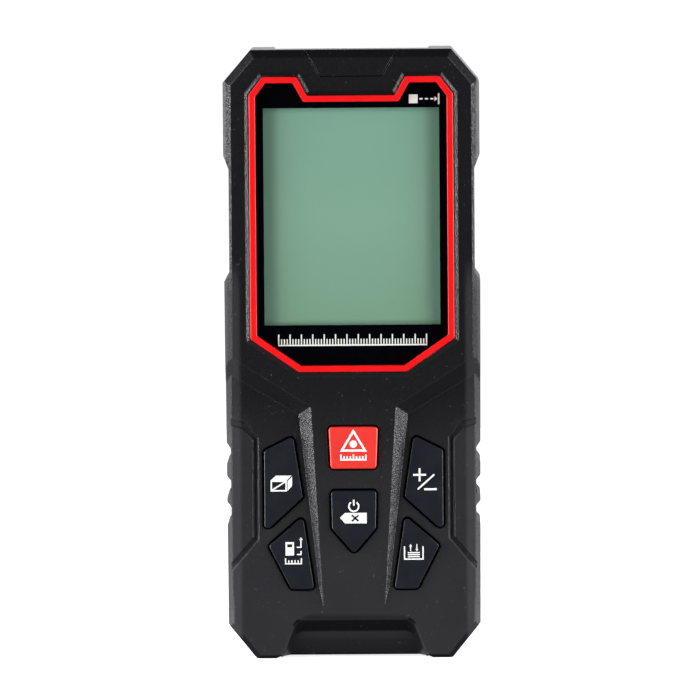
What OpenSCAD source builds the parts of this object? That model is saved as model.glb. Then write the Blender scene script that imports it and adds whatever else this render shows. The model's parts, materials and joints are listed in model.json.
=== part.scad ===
/* [Housing] */
// Height of the meter, from its measuring end to its laser end
case_h = 118; // [117.5:0.5:120]
// Width across the wings
case_w = 49.6; // [49.4:0.2:51]
// Depth from the front of the ring round the window to the back
case_d = 26; // [26:0.5:28]
// Height of the keys above the face
key_proud = 0.6; // [0.4:0.1:0.6]
// Depth of a grip notch in the side
notch_d = 0.8; // [0.4:0.1:1]

/* [Display] */
// Width of the visible display
lcd_w = 34; // [30:0.2:34.4]
// Height of the visible display
lcd_h = 42; // [38:0.1:42.4]
// Width of the coloured ring around the window
ring_w = 1.2; // [1:0.1:1.4]

/* [Keys] */
// Gap all round a key
key_gap = 0.35; // [0.2:0.05:0.4]
// How far a key travels when it is pressed
key_travel = 0.6; // [0.3:0.1:0.6]
// Corner radius of a key
key_r = 0.6; // [0.4:0.1:1]

/* [Power] */
// Diameter of an AAA cell
cell_d = 10.5; // [10:0.1:10.5]
// Length of an AAA cell with its positive nub
cell_l = 44.5; // [43.5:0.1:44.5]

/* [Optics] */
// Diameter of the receiving lens
lens_d = 12; // [8:0.5:12]
// Diameter of the laser beam's opening
beam_d = 4.4; // [3:0.2:5]

/* [Tripod insert] */
// Diameter of the thread, a quarter of an inch
thread_d = 6.35; // [6.35:0.05:6.35]
// Depth of the thread
thread_l = 6.5; // [5:0.5:6.5]

/* [Hidden] */
$fn = 48;
eps = 0.01;

// Levels through the depth, front to back along +Y
half_w = case_w / 2;
y_ring = -case_d / 2;
y_back = case_d / 2;
y_face = y_ring + 0.7;
y_rim = y_face - 0.35;
y_key_top = y_face - key_proud;
y_split = 1;
y_ledge = y_face + 1.2;
y_display = y_face + 2.4;
y_keypad = -8.2;
y_inside = -5;
y_pcb = -4;
pcb_t = 1.2;
y_pcb_back = y_pcb + pcb_t;
y_rear_inside = y_back - 2;
y_door = y_back - 1.8;

// Edges of the housing
edge_in = 1.05;
edge_w = 1.5;
edge_turn_w = 0.6;
edge_turn_deep = 0.8;
edge_deep = 2.6;
top_edge = 1.5;

// Heights of the features, from the measuring end for the keys and from the laser end for the display
z_top = case_h;
ring_top = z_top - 5.2;
ring_bottom = z_top - 62.3;
lcd_bottom = z_top - 53.3;
lcd_mid = lcd_bottom + lcd_h / 2;

// The two side fields fall away from the face towards the display, after a short ramp at their lower end
field_slope = 0.054;
field_z0 = 4.4;
ramp_slope = 0.155;
ramp_z0 = 10.7;
field_edge_w = 1.2;
groove_depth = 0.55;
groove_w = 1;

// Battery bay
bay_w = 22.4;
bay_z0 = 12;
bay_z1 = 61;
bay_wall = 1.2;
cell_x = cell_d / 2 + 0.2;
cell_y = 5.5;
nub_l = 0.8;
spring_l = 2.6;
plate_t = 0.6;

// Battery door and its pin
door_w = 32;
door_top = 63;
door_z = 9;
door_gap = 0.15;
pin_y = y_back - 1;
pin_r = 0.5;
barrel_r = 0.9;
hinge_relief = 1.45;
barrel_x = 11;
barrel_l = 6;

// Optics
optic_y = 4.2;
lens_x = 5.5;
beam_x = -8.5;
tube_r = 3.8;
end_w = 30;
end_y0 = -2.5;
end_y1 = y_back - 2.1;

// Fasteners
screw_x = 19.4;
case_screw_z = [12, 69, z_top - 9.5];
boss_r = 2.2;
screw_r = 1;
head_r = 1.9;
pcb_screw_at = [[14, 7.3], [17, 56], [11, z_top - 6]];
pcb_screw_r = 0.8;
bench_screw_at = [[-12.5, 84], [-12.5, 104], [13, 96]];
insert_z = z_top - 46;
insert_r = 4.4;

// ---- outlines ----------------------------------------------------------

function unit(v) = v / norm(v);
function left_of(v) = [-v.y, v.x];
function wrap(pts, i) = pts[(i + len(pts)) % len(pts)];
function mirrored(half) = concat(half, [for (i = [len(half) - 1:-1:0]) [-half[i].x, half[i].y]]);

// A closed outline moved inwards by d, or outwards where d is negative
function inset_corner(a, b, c, d) =
    let (n1 = left_of(unit(b - a)), n2 = left_of(unit(c - b))) b + d * (n1 + n2) / (1 + n1 * n2);
function inset(pts, d) =
    [for (i = [0:len(pts) - 1]) inset_corner(wrap(pts, i - 1), pts[i], wrap(pts, i + 1), d)];

// A closed outline with every corner turned into an arc of n chords
function corner_arc(a, b, c, r, n) =
    let (
        u = unit(a - b),
        v = unit(c - b),
        half = acos(u * v) / 2,
        centre = b + unit(u + v) * r / sin(half),
        p = b + u * r / tan(half) - centre,
        q = b + v * r / tan(half) - centre,
        start = atan2(p.y, p.x),
        turn = (atan2(q.y, q.x) - start + 540) % 360 - 180
    ) [for (i = [0:n]) centre + r * [cos(start + turn * i / n), sin(start + turn * i / n)]];
function rounded(pts, r, n = 4) =
    [for (i = [0:len(pts) - 1]) each corner_arc(wrap(pts, i - 1), pts[i], wrap(pts, i + 1), r, n)];

// Half width of the lower body, a little narrower towards the measuring end
function lower_half(z) = half_w - 0.35 * (1 - (z - 6.7) / 66.5);

// Each grip notch: height of its middle, half its mouth, half its floor
notches = [[28.1, 2.15, 1.4], [33.3, 1.95, 1.2], [39.8, 1.95, 0.95]];
notch_points = [for (n = notches) each [
    [lower_half(n[0] - n[1]), n[0] - n[1]],
    [lower_half(n[0]) - notch_d, n[0] - n[2]],
    [lower_half(n[0]) - notch_d, n[0] + n[2]],
    [lower_half(n[0] + n[1]), n[0] + n[1]]
]];
case_outline = mirrored(concat(
    [[14.4, 0.4], [15.2, 0], [19, 0], [lower_half(6.7), 6.7]],
    notch_points,
    [
        [lower_half(73.2), z_top - 44.8], [half_w - edge_in, z_top - 43.3],
        [half_w - edge_in, z_top - 23], [half_w, z_top - 20.5],
        [half_w, z_top - 6.3], [half_w - 5.4, z_top]
    ]
));
cavity_outline = mirrored([[16.8, 3.2], [21.4, 8.6], [21.4, z_top - 8], [17.7, z_top - 3.6]]);
pcb_outline = mirrored([[15.6, 4.2], [19.9, 10], [19.9, z_top - 8.4], [16.6, z_top - 4.6]]);
ring_half = 19.7;
ring_outline = mirrored([
    [10.4, ring_bottom], [ring_half, ring_bottom + 6.4], [ring_half, ring_top - 3.4],
    [17.1, ring_top], [10.5, ring_top], [8.5, ring_top - 3.65]
]);
tab_outline = mirrored([[6, z_top - 5.1], [8.9, z_top + eps]]);

// The groove's inner edge runs in from the side of the body, down and out again; its outer edge runs back
groove_edge = [[26, 16 - 1.6 * groove_w], [18.5, 23.2], [18.5, 42.8], [21.1, 45.7], [26, 47.2]];
groove_outline = concat(groove_edge, [
    [26, 47.2 - 1.05 * groove_w], [21.1 + 0.55 * groove_w, 45.7 - 1.1 * groove_w],
    [18.5 + groove_w, 42.8 - 0.45 * groove_w], [18.5 + groove_w, 23.2 + 0.3 * groove_w], [26, 16 - 0.1 * groove_w]
]);

// The scoop's outline on the face and, as if it had no floor, scoop_deep below it
scoop_r = 2.5;
scoop_lip = 0.6;
scoop_deep = 4;
scoop_mouth = mirrored([[15.2, -2.5], [11.2, 7.7]]);
scoop_bed = mirrored([[13.2, -2.5], [11.36, 2.2]]);
scoop_roll_r = 15.8;
scoop_roll_y = y_face + 17.5;
scoop_roll_z = 7.1;

measure_outline = mirrored([[4.4, 36.9], [4.75, 45]]);
power_outline = [[4.35, 32.6], [-4.35, 32.6], [-4.2, 25.3], [0, 20.4], [4.2, 25.3]];
upper_outline = [[17.3, 40.3], [11.7, 43.1], [9.9, 31.3], [17.3, 24.6]];
lower_outline = [[16.5, 21.9], [9.9, 27.6], [7.8, 13.5], [12.2, 13.5]];
key_stem_at = [[0, 40.6], [0, 27.2], [14.2, 34], [11.4, 20]];

// ---- building blocks ---------------------------------------------------

// A plate with its outline in the XZ plane, from depth y0 to depth y1
module plate(pts, y0, y1) {
    translate([0, y1, 0]) rotate([90, 0, 0]) linear_extrude(y1 - y0) polygon(pts);
}

// A block given by its lowest and highest corners
module block(low, high) {
    translate(low) cube(high - low);
}

// Everything past a plane through p, on the side that n points to
module past(p, n) {
    translate(p) rotate([0, acos(n.z / norm(n)), atan2(n.y, n.x)]) translate([-80, -80, 0]) cube(160);
}

// A rod along Y, from depth y0 to depth y1
module rod_y(x, z, r, y0, y1) {
    translate([x, y1, z]) rotate([90, 0, 0]) cylinder(h = y1 - y0, r = r);
}

// A rod along Z, from height z0 to height z1
module rod_z(x, y, r, z0, z1) {
    translate([x, y, z0]) cylinder(h = z1 - z0, r = r);
}

// A rod along X, from x0 to x1
module rod_x(y, z, r, x0, x1) {
    translate([x0, y, z]) rotate([0, 90, 0]) cylinder(h = x1 - x0, r = r);
}

module both_sides() {
    children();
    mirror([1, 0, 0]) children();
}

// A block whose outline grows from front (at y0) to back (at y1); both outlines have the same corners
module flared(front, back, y0, y1) {
    n = len(front);
    polyhedron(
        points = concat([for (p = front) [p.x, y0, p.y]], [for (p = back) [p.x, y1, p.y]]),
        faces = concat(
            [[for (i = [n - 1:-1:0]) i]],
            [for (i = [0:n - 1]) [i, (i + 1) % n, n + (i + 1) % n, n + i]],
            [[for (i = [0:n - 1]) n + i]]
        )
    );
}

// ---- housing -----------------------------------------------------------

// Front half of the body before anything is cut from it
module front_blank() {
    corner_in = top_edge;
    intersection() {
        plate(case_outline, y_face, y_split);
        linear_extrude(z_top) polygon([
            [-half_w, y_split], [-half_w, y_face + edge_deep],
            [edge_turn_w - half_w, y_face + edge_turn_deep], [edge_w - half_w, y_face],
            [half_w - edge_w, y_face], [half_w - edge_turn_w, y_face + edge_turn_deep],
            [half_w, y_face + edge_deep], [half_w, y_split]
        ]);
        translate([-half_w, 0, 0]) rotate([90, 0, 90]) linear_extrude(case_w) polygon([
            [y_split, 0], [y_face + 0.6, 0], [y_face, 0.6],
            [y_face, z_top - top_edge], [y_face + top_edge, z_top], [y_split, z_top]
        ]);
        difference() {
            block([-half_w, y_face, 0], [half_w, y_split, z_top]);
            both_sides() {
                past([half_w - 2.7, y_face + corner_in, z_top - 3.15], [0.759, -1, 0.651]);
                past([21.7, y_face + 1, 3.35], [0.779, -1, -0.628]);
            }
        }
    }
}

// The side field, which lies below the central strip and the display's surround
module side_field() {
    intersection() {
        past([0, y_face, field_z0], [0, -1, field_slope]);
        past([0, y_face, ramp_z0], [0, -1, ramp_slope]);
        past([6.1, y_face, 12.2], [1, -1, -0.06]);
        past([8.4, y_face, 49], [0.633, -1.31, -1]);
    }
}

// The slanted outer edge of a side field
module field_edge() {
    intersection() {
        past([half_w - field_edge_w, y_face, field_z0], [2, -1, field_slope]);
        past([8.4, y_face, 49], [0.633, -1.31, -1]);
    }
}

// The groove that runs round the finger grip at the outer edge of a side field
module grip_groove() {
    intersection() {
        plate(groove_outline, y_face - 1, y_split);
        past([0, y_face + groove_depth, field_z0], [0, -1, field_slope]);
    }
}

// The hollow at the measuring end, between the two feet, with a bulging floor that rolls down to the end
module foot_scoop() {
    difference() {
        flared(rounded(scoop_mouth, scoop_r), rounded(scoop_bed, scoop_r - 1), y_face - eps, y_face + scoop_deep);
        rod_x(scoop_roll_y, scoop_roll_z, scoop_roll_r, -half_w, half_w);
    }
    flared(
        rounded(inset(scoop_mouth, -scoop_lip), scoop_r + scoop_lip), rounded(scoop_mouth, scoop_r),
        y_face - eps, y_face + 0.25 * scoop_lip
    );
}

module key_opening(pts) {
    plate(rounded(inset(pts, -key_gap), key_r + key_gap), y_key_top - 1, y_keypad + 1);
}

module gasket_ring(y0, y1) {
    difference() {
        plate(inset(cavity_outline, -1.2), y0, y1);
        plate(inset(cavity_outline, -0.4), y0 - 1, y1 + 1);
    }
}

// The opening at the laser end, shared by both covers
module end_opening() {
    block([-end_w / 2, end_y0, z_top - 4.6], [end_w / 2, end_y1, z_top + 1]);
}

module front_cover() {
    color([0.13, 0.13, 0.14]) difference() {
        union() {
            difference() {
                front_blank();
                plate(cavity_outline, y_inside, y_split + 1);
                both_sides() {
                    side_field();
                    field_edge();
                    grip_groove();
                }
                foot_scoop();
                block([-18.6, y_keypad, 9.5], [18.6, y_inside + 1, 52]);
                block([-19.7, y_display, ring_bottom + 4.5], [19.7, y_inside + 1, ring_top - 2.6]);
            }
            flared(inset(ring_outline, -0.3), inset(ring_outline, -0.9), y_rim, y_face + 0.05);
            both_sides() {
                for (z = case_screw_z) rod_y(screw_x, z, boss_r, y_pcb_back + 0.3, y_split);
                for (at = pcb_screw_at) rod_y(at.x, at.y, 1.6, y_inside - 0.5, y_pcb);
            }
        }
        plate(rounded(ring_outline, 0.6), y_face - 1, y_ledge);
        plate(inset(tab_outline, -0.08), y_face - 1, y_face + 1.8);
        block([-lcd_w / 2 - 1, y_ledge - 1, lcd_bottom - 1], [lcd_w / 2 + 1, y_display + 1, lcd_bottom + lcd_h + 1]);
        key_opening(measure_outline);
        key_opening(power_outline);
        both_sides() {
            key_opening(upper_outline);
            key_opening(lower_outline);
            for (z = case_screw_z) rod_y(screw_x, z, screw_r, y_pcb_back, y_split + 1);
            for (at = pcb_screw_at) rod_y(at.x, at.y, pcb_screw_r, y_pcb - 3, y_pcb + 1);
        }
        gasket_ring(y_split - 0.5, y_split + 1);
        end_opening();
    }
}

module nose_tab() {
    color([0.12, 0.12, 0.13]) intersection() {
        front_blank();
        plate(tab_outline, y_face - 1, y_face + 1.8);
    }
}

// Rear half of the body: the shell, the battery tub and the bosses
module rear_cover() {
    tub_z0 = bay_z0 - bay_wall;
    tub_z1 = bay_z1 + bay_wall;
    tub_x = bay_w / 2 + bay_wall;
    color([0.14, 0.14, 0.15]) difference() {
        union() {
            difference() {
                intersection() {
                    plate(case_outline, y_split, y_back);
                    linear_extrude(z_top) polygon([
                        [-half_w, y_split], [half_w, y_split], [half_w, y_back - 4.5],
                        [half_w - 3.3, y_back], [3.3 - half_w, y_back], [-half_w, y_back - 4.5]
                    ]);
                    translate([-half_w, 0, 0]) rotate([90, 0, 90]) linear_extrude(case_w) polygon([
                        [y_split, 0], [y_back - 1.5, 0], [y_back, 1.5],
                        [y_back, z_top - 2.5], [y_back - 2.5, z_top], [y_split, z_top]
                    ]);
                }
                plate(cavity_outline, y_split - 1, y_rear_inside);
            }
            block([-tub_x, -1, tub_z0], [tub_x, y_rear_inside + eps, tub_z1]);
            block([-17.6, 9.7, 7], [17.6, y_rear_inside + eps, 65]);
            both_sides() for (z = case_screw_z) rod_y(screw_x, z, boss_r + 0.4, y_split, y_rear_inside + eps);
            rod_y(0, insert_z, 6, y_back - 8.6, y_rear_inside + eps);
            for (at = bench_screw_at) rod_y(at.x, at.y, 1.6, y_rear_inside - 0.4, y_rear_inside + eps);
        }
        block([-bay_w / 2, -1 + bay_wall, bay_z0], [bay_w / 2, y_back + 1, bay_z1]);
        block([-door_w / 2 - door_gap, y_door - eps, door_z], [door_w / 2 + door_gap, y_back + 1, door_top + door_gap]);
        rod_x(pin_y, door_z, hinge_relief, -door_w / 2 - door_gap, door_w / 2 + door_gap);
        rod_x(pin_y, door_z, pin_r, -door_w / 2 - 2, door_w / 2 + 2);
        // Finger recess above the door's catch
        intersection() {
            past([0, y_back - 1.2, door_top], [0, 1, -0.3]);
            block([-6, y_door, door_top - 1], [6, y_back + 1, door_top + 6]);
        }
        both_sides() for (z = case_screw_z) {
            rod_y(screw_x, z, screw_r + 0.15, y_split - 1, y_back + 1);
            rod_y(screw_x, z, head_r + 0.2, y_back - 3.6, y_back + 1);
        }
        rod_y(0, insert_z, insert_r, y_back - 7.8, y_back + 1);
        for (at = bench_screw_at) rod_y(at.x, at.y, pcb_screw_r, y_rear_inside - 1, y_back - 0.6);
        block([-14, y_back - 0.2, z_top - 34], [14, y_back + 1, z_top - 16]);
        gasket_ring(y_split - 1, y_split + 0.5);
        end_opening();
        both_sides() block([12.8, 1.9, 63.4], [14.2, 3.1, 66]);
    }
}

module housing_gasket() {
    color([0.3, 0.3, 0.32]) difference() {
        gasket_ring(y_split - 0.5, y_split + 0.5);
        end_opening();
    }
}

// ---- display -----------------------------------------------------------

module bezel_ring() {
    color([0.9, 0.12, 0.13]) difference() {
        plate(rounded(ring_outline, 0.6), y_ring, y_ledge);
        plate(rounded(inset(ring_outline, ring_w), 0.5), y_ring - 1, y_ledge + 1);
    }
}

module display_window() {
    color([0.6, 0.7, 0.7, 0.4]) plate(rounded(inset(ring_outline, ring_w), 0.5), y_face, y_ledge - 0.12);
}

module window_mask() {
    color([0.02, 0.02, 0.04]) difference() {
        plate(rounded(inset(ring_outline, ring_w), 0.5), y_ledge - 0.1, y_ledge);
        block([-lcd_w / 2, y_ledge - 1, lcd_bottom], [lcd_w / 2, y_ledge + 1, lcd_bottom + lcd_h]);
    }
}

module lcd_polarizer() {
    color([0.49, 0.65, 0.57])
        block([-18.2, y_display + 0.05, lcd_mid - 22.2], [18.2, y_display + 0.25, lcd_mid + 22.2]);
}

module lcd_glass() {
    color([0.6, 0.72, 0.66])
        block([-18.75, y_display + 0.25, lcd_mid - 22.8], [18.75, y_display + 2.05, lcd_mid + 22.8]);
}

module lcd_frame() {
    color([0.9, 0.9, 0.88]) difference() {
        block([-19.5, y_display + 0.25, lcd_mid - 24.2], [19.5, y_pcb, lcd_mid + 24.2]);
        block([-18.75, y_display, lcd_mid - 22.8], [18.75, y_pcb + 1, lcd_mid + 22.8]);
    }
}

module backlight_guide() {
    color([0.85, 0.9, 0.85])
        block([-18.2, y_display + 2.1, lcd_mid - 19], [18.2, y_pcb - 0.9, lcd_mid + 22.4]);
}

module zebra_strip() {
    color([0.75, 0.5, 0.6])
        block([-18, y_display + 2.05, lcd_mid - 22.4], [18, y_pcb, lcd_mid - 20.2]);
}

// ---- electronics -------------------------------------------------------

module main_pcb() {
    color([0.1, 0.35, 0.16]) difference() {
        plate(pcb_outline, y_pcb, y_pcb_back);
        both_sides() for (at = pcb_screw_at) rod_y(at.x, at.y, 1, y_pcb - 1, y_pcb_back + 1);
    }
}

// Chips on the back of the board: x, z, width, height and thickness of each
chips = [
    [7, 72, 9, 9, 1.4], [-4.5, 70, 5, 4, 1.2], [15.5, 88, 4, 4, 1.1], [-15.5, 84, 3.6, 5, 1.1],
    [15.5, 100, 3, 2, 0.8], [-16, 94, 2.6, 2, 0.8], [15.6, 60, 2.4, 4, 1.1], [-15.6, 40, 2.4, 5, 1.1]
];
module pcb_chips() {
    color([0.15, 0.15, 0.15]) for (c = chips)
        block([c[0] - c[2] / 2, y_pcb_back, c[1] - c[3] / 2], [c[0] + c[2] / 2, y_pcb_back + c[4], c[1] + c[3] / 2]);
}

module buzzer() {
    color([0.1, 0.1, 0.1]) difference() {
        rod_y(-14, 75, 4.2, y_pcb_back, y_pcb_back + 3.4);
        rod_y(-14, 75, 0.9, y_pcb_back + 2.4, y_pcb_back + 4);
    }
}

module dome_contacts() {
    color([0.85, 0.75, 0.4]) both_sides_of_keys() rod_y(0, 0, 1.6, y_pcb - 0.25, y_pcb);
}

// Places its children at the middle of every key
module both_sides_of_keys() {
    for (at = [key_stem_at[0], key_stem_at[1]]) translate([at.x, 0, at.y]) children();
    for (at = [key_stem_at[2], key_stem_at[3]], side = [-1, 1]) translate([side * at.x, 0, at.y]) children();
}

module keypad_sheet() {
    color([0.2, 0.2, 0.22]) difference() {
        block([-18, y_pcb - 1, 10], [18, y_pcb, 51.5]);
        both_sides_of_keys() rod_y(0, 0, 1.9, y_pcb - 2, y_pcb + 1);
    }
}

module sensor_ribbon() {
    color([0.85, 0.55, 0.15]) translate([4, 0, 0]) rotate([90, 0, 90]) linear_extrude(6) polygon([
        [y_pcb_back, 77], [y_pcb_back, 80], [y_pcb_back + 0.15, 80], [y_pcb_back + 0.3, 77.9],
        [-1.6, 77.5], [-0.6, 77.6], [-0.2, 78.6], [0, 78.6], [-0.4, 77.4], [-1.6, 77.3],
        [y_pcb_back + 0.15, 77.7], [y_pcb_back + 0.15, 77]
    ]);
}

// ---- keys --------------------------------------------------------------

// A key cap with its retaining flange and its stem; the side keys' caps slope with their field
module key(pts, at, sloped = false) {
    difference() {
        union() {
            plate(rounded(pts, key_r), y_key_top, y_keypad + 1.1);
            plate(rounded(inset(pts, -0.8), key_r), y_keypad + 0.3, y_keypad + 1.1);
            rod_y(at.x, at.y, 1.3, y_keypad + 1, y_pcb - 1.25);
        }
        if (sloped) past([0, y_key_top, field_z0], [0, -1, field_slope]);
    }
}

module pill(at) {
    color([0.05, 0.05, 0.05]) rod_y(at.x, at.y, 1.3, y_pcb - 1.25, y_pcb - 0.35 - key_travel);
}

module measure_key() {
    color([0.92, 0.22, 0.2]) key(measure_outline, key_stem_at[0]);
}

module power_key() {
    color([0.12, 0.13, 0.15]) key(power_outline, key_stem_at[1]);
}

module volume_key() {
    color([0.12, 0.13, 0.15]) mirror([1, 0, 0]) key(upper_outline, key_stem_at[2], sloped = true);
}

module plus_minus_key() {
    color([0.12, 0.13, 0.15]) key(upper_outline, key_stem_at[2], sloped = true);
}

module unit_key() {
    color([0.12, 0.13, 0.15]) mirror([1, 0, 0]) key(lower_outline, key_stem_at[3], sloped = true);
}

module memory_key() {
    color([0.12, 0.13, 0.15]) key(lower_outline, key_stem_at[3], sloped = true);
}

module measure_pill() {
    pill(key_stem_at[0]);
}

module power_pill() {
    pill(key_stem_at[1]);
}

module volume_pill() {
    mirror([1, 0, 0]) pill(key_stem_at[2]);
}

module plus_minus_pill() {
    pill(key_stem_at[2]);
}

module unit_pill() {
    mirror([1, 0, 0]) pill(key_stem_at[3]);
}

module memory_pill() {
    pill(key_stem_at[3]);
}

// ---- optics ------------------------------------------------------------

module end_plate() {
    color([0.08, 0.08, 0.09]) difference() {
        block([-end_w / 2, end_y0, z_top - 3.6], [end_w / 2, end_y1, z_top - 0.6]);
        rod_z(lens_x, optic_y, lens_d / 2 - 0.4, z_top - 5, z_top);
        rod_z(lens_x, optic_y, lens_d / 2, z_top - 2.2, z_top);
        rod_z(beam_x, optic_y, beam_d / 2 - 0.4, z_top - 5, z_top);
        rod_z(beam_x, optic_y, beam_d / 2, z_top - 2.2, z_top);
    }
}

module receiver_window() {
    color([0.45, 0.1, 0.12, 0.6]) rod_z(lens_x, optic_y, lens_d / 2, z_top - 2.2, z_top - 1.2);
}

module beam_window() {
    color([0.7, 0.8, 0.85, 0.5]) rod_z(beam_x, optic_y, beam_d / 2, z_top - 2.2, z_top - 1.2);
}

// Cast bench: lens plate, floor, laser tube and the detector's block
module optics_bench() {
    color([0.65, 0.66, 0.68]) difference() {
        union() {
            block([-15, end_y0 + 0.2, z_top - 9], [15, y_rear_inside - 0.4, z_top - 4.6]);
            block([-15, y_rear_inside - 1.9, z_top - 38], [15, y_rear_inside - 0.4, z_top - 9]);
            rod_z(beam_x, optic_y, tube_r, z_top - 32, z_top - 9);
            block([beam_x - 1.5, optic_y, z_top - 32], [beam_x + 1.5, y_rear_inside - 1.9, z_top - 9]);
            block([lens_x - 7, end_y0 + 0.2, z_top - 38], [lens_x + 7, y_rear_inside - 0.4, z_top - 34]);
        }
        rod_z(lens_x, optic_y, lens_d / 2, z_top - 7.4, z_top);
        rod_z(lens_x, optic_y, lens_d / 2 - 0.8, z_top - 10, z_top);
        rod_z(beam_x, optic_y, 2.8, z_top - 33, z_top);
        rod_z(lens_x, optic_y, 2.6, z_top - 39, z_top - 33);
        for (at = bench_screw_at) rod_y(at.x, at.y, 1, y_rear_inside - 3, y_back);
        // Room for the heads of the board's top screws
        both_sides() rod_y(pcb_screw_at[2].x, pcb_screw_at[2].y, 1.8, end_y0, y_pcb_back + 1.5);
    }
}

module receiver_lens() {
    lens_r = lens_d / 2;
    color([0.75, 0.85, 0.9, 0.5]) translate([lens_x, optic_y, z_top - 7.4]) rotate_extrude() polygon(concat(
        [[0, 0], [lens_r, 0], [lens_r, 0.8]],
        [for (i = [1:8]) [lens_r * cos(i * 90 / 8), 0.8 + 1.2 * sin(i * 90 / 8)]]
    ));
}

module lens_ring() {
    color([0.1, 0.1, 0.1]) difference() {
        rod_z(lens_x, optic_y, lens_d / 2, z_top - 5.2, z_top - 4.6);
        rod_z(lens_x, optic_y, lens_d / 2 - 0.8, z_top - 6, z_top - 4);
    }
}

module infrared_filter() {
    color([0.5, 0.05, 0.08, 0.7]) block([lens_x - 3.5, optic_y - 3.5, z_top - 34], [lens_x + 3.5, optic_y + 3.5, z_top - 33]);
}

module detector_can() {
    color([0.8, 0.75, 0.5]) rod_z(lens_x, optic_y, 2.3, z_top - 38.4, z_top - 35.5);
}

module detector_board() {
    color([0.1, 0.35, 0.16])
        block([lens_x - 7, end_y0 + 0.4, z_top - 39.4], [lens_x + 7, y_rear_inside - 2.4, z_top - 38.4]);
}

module laser_diode() {
    color([0.85, 0.75, 0.45]) {
        rod_z(beam_x, optic_y, 2.8, z_top - 31.6, z_top - 30.4);
        rod_z(beam_x, optic_y, 1.9, z_top - 30.4, z_top - 28.4);
        for (a = [90, 210, 330])
            rod_z(beam_x + 1.1 * cos(a), optic_y + 1.1 * sin(a), 0.22, z_top - 34.6, z_top - 31.6);
    }
}

module collimator_lens() {
    color([0.75, 0.85, 0.9, 0.5]) rod_z(beam_x, optic_y, 2.8, z_top - 13, z_top - 11);
}

module collimator_ring() {
    color([0.75, 0.6, 0.3]) difference() {
        rod_z(beam_x, optic_y, 2.8, z_top - 11, z_top - 9.6);
        rod_z(beam_x, optic_y, 1.9, z_top - 12, z_top - 9);
    }
}

// ---- power -------------------------------------------------------------

// A cell standing on its flat end at the origin
module cell() {
    r = cell_d / 2;
    color([0.2, 0.35, 0.6]) rotate_extrude() polygon([
        [0, 0], [r - 0.5, 0], [r, 0.5], [r, cell_l - nub_l - 0.5], [r - 0.5, cell_l - nub_l],
        [1.9, cell_l - nub_l], [1.9, cell_l], [0, cell_l]
    ]);
}

module cell_left() {
    translate([-cell_x, cell_y, bay_z0 + plate_t + spring_l]) cell();
}

module cell_right() {
    translate([cell_x, cell_y, bay_z1 - plate_t - spring_l]) mirror([0, 0, 1]) cell();
}

// A flat contact plate against the bay's end wall, from x0 to x1
module contact_plate(x0, x1, z0) {
    block([x0, 1, z0], [x1, 9.8, z0 + plate_t]);
}

// A round tube of radius r swept along a path; up is never parallel to the path
function tangent(path, i) = unit(path[min(i + 1, len(path) - 1)] - path[max(i - 1, 0)]);
function ring_at(path, i, r, up) =
    let (t = tangent(path, i), a = unit(cross(t, up)), b = cross(t, a))
    [for (k = [0:7]) path[i] + r * (cos(45 * k) * a + sin(45 * k) * b)];
module tube(path, r, up) {
    last = len(path) - 1;
    polyhedron(
        points = [for (i = [0:last]) each ring_at(path, i, r, up)],
        faces = concat(
            [[for (k = [0:7]) k]],
            [for (i = [0:last - 1], k = [0:7]) [8 * i + k, 8 * i + 8 + k, 8 * i + 8 + (k + 1) % 8, 8 * i + (k + 1) % 8]],
            [[for (k = [7:-1:0]) 8 * last + k]]
        )
    );
}

// A conical spring of round wire, standing on z = 0
spring_wire = 0.3;
spring_turns = 3;
spring_steps = 14;
function spring_point(t) =
    let (a = 360 * spring_turns * t, r = 3.4 - 1.6 * t)
    [r * cos(a), r * sin(a), spring_wire + t * (spring_l - 2 * spring_wire)];
module cell_spring() {
    n = spring_turns * spring_steps;
    tube([for (i = [0:n]) spring_point(i / n)], spring_wire, [0, 0, 1]);
}

module bridge_contact() {
    color([0.8, 0.8, 0.78]) {
        contact_plate(-bay_w / 2 + 0.6, bay_w / 2 - 0.6, bay_z1 - plate_t);
        rod_z(-cell_x, cell_y, 1.7, bay_z0 + plate_t + spring_l + cell_l, bay_z1 - plate_t);
        translate([cell_x, cell_y, bay_z1 - plate_t]) mirror([0, 0, 1]) cell_spring();
    }
}

module negative_contact() {
    color([0.8, 0.8, 0.78]) {
        contact_plate(-bay_w / 2 + 0.6, -0.8, bay_z0);
        translate([-cell_x, cell_y, bay_z0 + plate_t]) cell_spring();
    }
}

module positive_contact() {
    color([0.8, 0.8, 0.78]) {
        contact_plate(0.8, bay_w / 2 - 0.6, bay_z0);
        rod_z(cell_x, cell_y, 1.7, bay_z0 + plate_t, bay_z1 - plate_t - spring_l - cell_l);
    }
}

// Two leads from the bay's sides up to the board
module battery_leads() {
    color([0.8, 0.1, 0.1]) for (side = [-1, 1]) tube([
        [side * 13.5, 2.5, 63.6], [side * 13.5, 2.5, 65.4], [side * 13.3, 2.1, 66.4], [side * 12.6, 1.2, 67],
        [side * 11.9, 0.1, 67], [side * 11.6, -1.2, 66.6], [side * 11.6, y_pcb_back + 0.1, 66.5]
    ], 0.5, [1, 0, 0]);
}

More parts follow.
